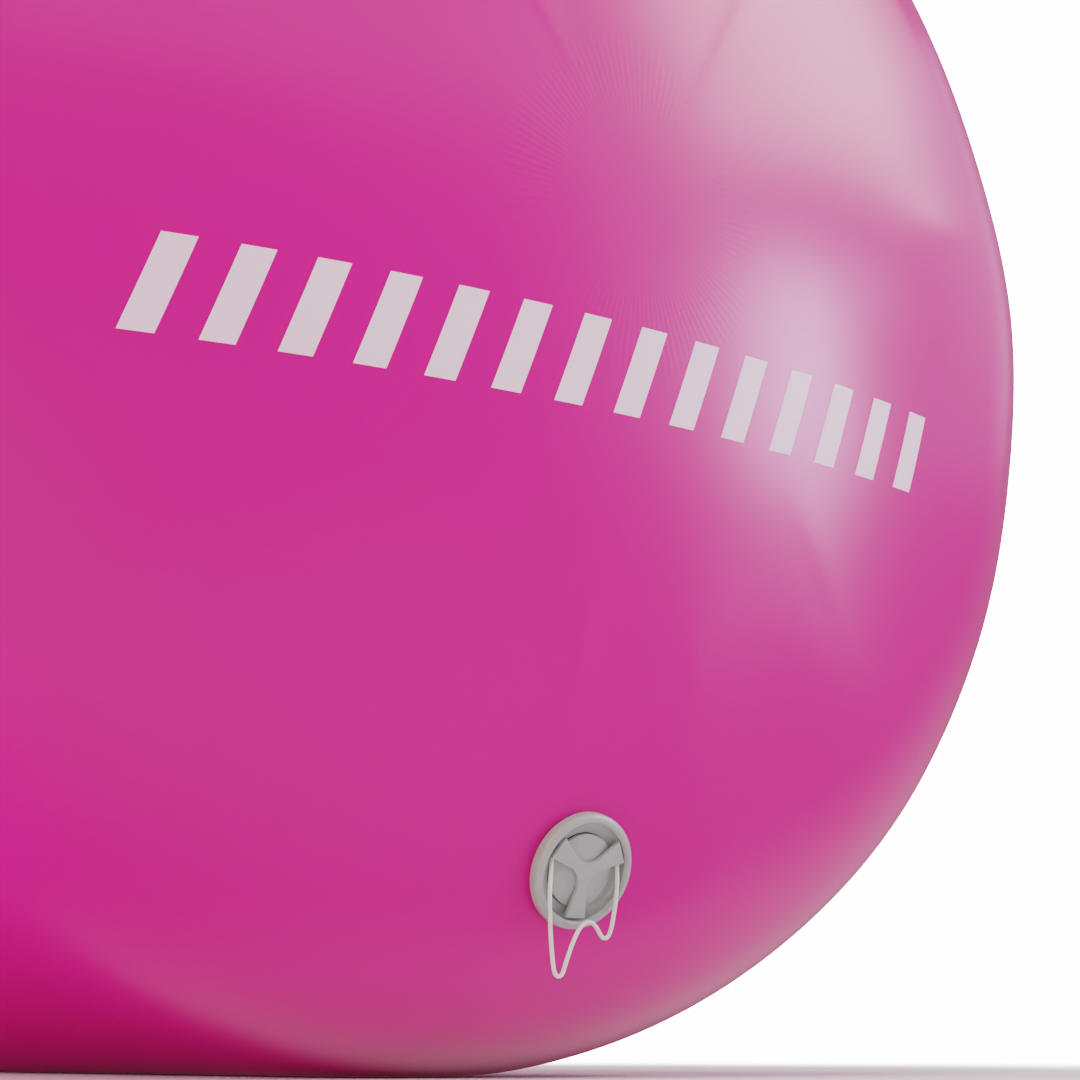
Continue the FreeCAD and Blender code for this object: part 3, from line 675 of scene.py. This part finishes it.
def flat_height(along, across):
    """The base patch lies on the wall itself."""
    return 0 * along


STRAP = 2.4 * MM
STRAP_WIDTH = 40 * MM
STRAP_END = 130 * MM
STRAP_GAP = 0.1 * MM  # between the strap and the cover over it
SELVEDGE = 1.2 * MM
COVER_MIDDLE = 108 * MM
COVER_SLOPE = (0.5 * MM, 6 * MM)  # from the strap's edge: where the cover starts and ends its descent


def cover_height(way):
    """The cover lies over the strap's end and comes down to the base patch around it."""
    def height(along, across):
        past_side = np.abs(across) - STRAP_WIDTH / 2
        past_end = COVER_MIDDLE + way * along - STRAP_END
        over = (1 - smooth(*COVER_SLOPE, past_side)) * (1 - smooth(*COVER_SLOPE, past_end))
        return LAYER + (STRAP + STRAP_GAP) * over
    return height


def strap_path():
    """Places along the strap, as (along, out, lean): flat, foot, arch, foot, flat."""
    half, rise, foot = 75 * MM, 26 * MM, 15 * MM
    sweep = 2 * math.atan(rise / half)
    arch = half / math.sin(sweep) - foot
    path = []
    for y in np.linspace(-STRAP_END, -half, 14)[:-1]:
        path.append((y, 0.0, 0.0))
    for a in np.linspace(0, sweep, 9)[:-1]:
        path.append((-half + foot * math.sin(a), foot * (1 - math.cos(a)), -a))
    for a in np.linspace(-sweep, 0, 20):
        path.append((arch * math.sin(a), rise - arch * (1 - math.cos(a)), a))
    path += [(-y, out, -a) for y, out, a in reversed(path[:-1])]
    return path


def make_strap(name, side, node):
    """Webbing with rounded selvedges, swept along its arch."""
    flat = STRAP_WIDTH / 2 - SELVEDGE
    half_t = (STRAP - STRAP_GAP) / 2
    across = np.linspace(-flat, flat, 21)
    bend = np.linspace(math.pi / 2, -math.pi / 2, 9)[1:-1]
    section = [(z, half_t) for z in across]
    section += [(flat + SELVEDGE * math.cos(a), half_t * math.sin(a)) for a in bend]
    section += [(z, -half_t) for z in across[::-1]]
    section += [(-flat - SELVEDGE * math.cos(a), half_t * math.sin(a)) for a in bend[::-1]]
    stand = RADIUS + LAYER + STRAP / 2
    points, faces = [], []
    count = len(section)
    for y, out, lean in strap_path():
        for z, h in section:
            points.append((side * (stand + out + h * math.cos(lean)),
                           y + h * math.sin(lean), AXIS_Z + z))
    rows = len(points) // count
    for i in range(rows - 1):
        for j in range(count):
            k = (j + 1) % count
            faces.append((i * count + j, i * count + k, (i + 1) * count + k, (i + 1) * count + j))
    faces.append(tuple(range(count))[::-1])
    faces.append(tuple(range((rows - 1) * count, rows * count)))
    piece = mesh_object(name, points, outward(points, faces), webbing, sharp=60)
    on_barrel(piece, "webbing", node)


def make_handle(word, side):
    """A base patch, the strap on it, and a cover over each of the strap's ends."""
    base = rounded_rectangle(300 * MM, 100 * MM, 14 * MM, rings=24, around=160)
    side_patch(word + "_handle_base", side, 0.0, base, flat_height, word + "_handle_base_patch")
    make_strap(word + "_handle_webbing", side, word + "_handle_strap")
    for end, way in (("front", -1), ("rear", 1)):
        grid = rounded_rectangle(62 * MM, 74 * MM, 9 * MM, rings=26, around=120)
        side_patch("%s_handle_%s_flap" % (word, end), side, way * COVER_MIDDLE, grid,
                   cover_height(way), "%s_handle_%s_cover" % (word, end))


make_handle("left", -1)
make_handle("right", 1)


# ---------------------------------------------------------------- valve spring
def make_spring():
    """The coil between the stem's guide and its button. On the real valve it closes up as the stem is
    pushed in; here it is built at one fixed length.
    """
    low, high, reach, wire, turns = -25.0 * MM, -18.7 * MM, 3.6 * MM, 0.4 * MM, 4
    sideways = np.array([1.0, 0.0, 0.0])
    upwards = np.cross(VALVE_AXIS, sideways)
    around, rings = 10, 32 * turns + 1
    points, faces = [], []
    for i in range(rings):
        turn = 2 * math.pi * turns * i / (rings - 1)
        out = math.cos(turn) * sideways + math.sin(turn) * upwards
        middle = VALVE + reach * out + (low + (high - low) * i / (rings - 1)) * VALVE_AXIS
        for j in range(around):
            a = 2 * math.pi * j / around
            points.append(middle + wire * (math.cos(a) * out + math.sin(a) * VALVE_AXIS))
    for i in range(rings - 1):
        for j in range(around):
            k = (j + 1) % around
            faces.append((i * around + j, (i + 1) * around + j, (i + 1) * around + k, i * around + k))
    faces.append(tuple(range(around)))
    faces.append(tuple(range((rings - 1) * around, rings * around))[::-1])
    spring = mesh_object("valve_spring_coil", points, faces, steel, sharp=60)
    on_barrel(spring, "spring_steel", "valve_spring")
    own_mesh(spring)


make_spring()

# ---------------------------------------------------------------- materials of the CAD nodes
NODE_MATERIALS = {
    "valve_housing": moulding, "clamp_nut": moulding, "stem_guide": moulding,
    "plunger_stem": moulding, "poppet_disc": moulding, "stem_clip": moulding,
    "cap_plug": moulding, "cap_grip": moulding, "flange_gasket": rubber, "poppet_seal": rubber,
    "cap_seal_ring": rubber, "valve_patch": tape_pvc,
}
for name, material in NODE_MATERIALS.items():
    node = frame["nodes"][name]
    node.data.materials.clear()
    node.data.materials.append(material)


# ---------------------------------------------------------------- floor, light and world
WHITE = 12.0  # strong enough for the view transform to show it as plain white
FLOOR_HALF = 40.0
FLOOR_DROP = 0.5 * MM  # keeps the floor clear of the barrel's flat underside
FLOOR_FADE = (0.65, 2.2)  # from the origin: where the floor starts to turn white and where it is white


def make_floor():
    """A pale floor that turns into a plain white backdrop away from the object."""
    material, tree, shader = new_material("pale_floor")
    shader.inputs["Base Color"].default_value = (0.88, 0.88, 0.88, 1)
    shader.inputs["Roughness"].default_value = 0.9
    shader.inputs["Specular IOR Level"].default_value = 0.1
    away = add(tree, "ShaderNodeVectorMath", operation="LENGTH")
    tree.links.new(object_place(tree), away.inputs[0])
    fade = ranged(tree, away.outputs["Value"], interpolation_type="SMOOTHSTEP",
                  From_Min=FLOOR_FADE[0], From_Max=FLOOR_FADE[1])
    glow = add(tree, "ShaderNodeEmission", Strength=WHITE)
    seen = add(tree, "ShaderNodeLightPath").outputs["Is Camera Ray"]
    mix = add(tree, "ShaderNodeMixShader")
    tree.links.new(maths(tree, "MULTIPLY", fade, seen), mix.inputs["Fac"])
    tree.links.new(shader.outputs["BSDF"], mix.inputs[1])
    tree.links.new(glow.outputs["Emission"], mix.inputs[2])
    tree.links.new(mix.outputs["Shader"], tree.nodes["Material Output"].inputs["Surface"])
    corners = [(x * FLOOR_HALF, y * FLOOR_HALF, -FLOOR_DROP)
               for x, y in ((-1, -1), (1, -1), (1, 1), (-1, 1))]
    floor = mesh_object("floor", corners, [(0, 1, 2, 3)], material)
    floor.visible_glossy = False  # the world below lights the skin's reflections instead


LAMP_DISTANCE = 8.0
LAMP_TARGET = Vector((0.1, -0.5, AXIS_Z))


def softbox(name, azimuth, elevation, wide, high, radiance, tint):
    """A rectangular lamp in a direction from the front dome: azimuth from -Y towards +X, elevation,
    and width and height, all in degrees."""
    a, e = math.radians(azimuth), math.radians(elevation)
    away = Vector((math.sin(a) * math.cos(e), -math.cos(a) * math.cos(e), math.sin(e)))
    lamp = bpy.data.lights.new(name, "AREA")
    lamp.shape = "RECTANGLE"
    lamp.size = 2 * LAMP_DISTANCE * math.tan(math.radians(wide / 2))
    lamp.size_y = 2 * LAMP_DISTANCE * math.tan(math.radians(high / 2))
    lamp.energy = radiance * math.pi * lamp.size * lamp.size_y
    lamp.color = tint
    made = bpy.data.objects.new(name, lamp)
    made.location = LAMP_TARGET + away * LAMP_DISTANCE
    made.rotation_euler = away.to_track_quat("Z", "Y").to_euler()
    made.visible_camera = False
    bpy.context.scene.collection.objects.link(made)


def towards(tree, direction, aim):
    """How far a direction of the world points along an aim."""
    made = add(tree, "ShaderNodeVectorMath", operation="DOT_PRODUCT")
    made.inputs[1].default_value = aim
    tree.links.new(direction, made.inputs[0])
    return made.outputs["Value"]


def make_world():
    """White behind the object; what lights it is a dim room, dark low down behind, with a paler
    patch low on the right as from a lit floor."""
    world = bpy.data.worlds.new("studio")
    world.use_nodes = True
    tree = world.node_tree
    tree.nodes.clear()
    direction = add(tree, "ShaderNodeTexCoord").outputs["Generated"]
    level = ranged(tree, towards(tree, direction, (0, -0.5, 0.5)),
                   From_Min=-0.55, From_Max=0.0, To_Min=0.0, To_Max=0.27)
    bounce = ranged(tree, towards(tree, direction, (0.6, 0.3, -0.7)),
                    From_Min=0.6, From_Max=0.82, To_Min=0.0, To_Max=0.5)
    not_behind = ranged(tree, towards(tree, direction, (0, 1, 0)), From_Min=0.72, From_Max=0.55)
    glow = maths(tree, "MULTIPLY", bounce, not_behind)
    seen = add(tree, "ShaderNodeBackground", Color=(1, 1, 1, 1), Strength=WHITE)
    lit = add(tree, "ShaderNodeBackground", Color=(1, 1, 1, 1))
    tree.links.new(maths(tree, "ADD", level, glow), lit.inputs["Strength"])
    path = add(tree, "ShaderNodeLightPath")
    mix = add(tree, "ShaderNodeMixShader")
    out = add(tree, "ShaderNodeOutputWorld")
    tree.links.new(path.outputs["Is Camera Ray"], mix.inputs["Fac"])
    tree.links.new(lit.outputs["Background"], mix.inputs[1])
    tree.links.new(seen.outputs["Background"], mix.inputs[2])
    tree.links.new(mix.outputs["Shader"], out.inputs["Surface"])
    bpy.context.scene.world = world


PLAIN = (1.0, 1.0, 1.0)
COOL = (0.66, 0.74, 1.0)
WARM = (1.0, 0.90, 0.66)
# name, azimuth, elevation, width, height, radiance, tint
LAMPS = [
    ("key", 55, 12, 11, 14, 16.5, COOL),
    ("key_skirt", 56, -1, 14, 8, 2.6, COOL),
    ("upper_right", 62, 35, 26, 18, 6.4, PLAIN),
    ("right_glow", 42, 18, 14, 22, 1.0, COOL),
    ("front_top", 10, 34, 50, 16, 0.9, PLAIN),
    ("right_side", 88, 22, 30, 22, 1.0, COOL),
    ("left_low", -60, 17, 30, 26, 2.6, WARM),
    ("left_high", -68, 42, 30, 24, 2.6, WARM),
    ("back_left", -118, 3, 40, 24, 12.0, (0.9, 0.9, 1.0)),
    ("overhead", 0, 84, 44, 44, 2.6, PLAIN),
]
make_floor()
make_world()
for lamp_row in LAMPS:
    softbox(*lamp_row)
bpy.context.scene.view_settings.view_transform = "Filmic"
bpy.context.scene.view_settings.look = "None"
bpy.context.scene.view_settings.exposure = 0.14
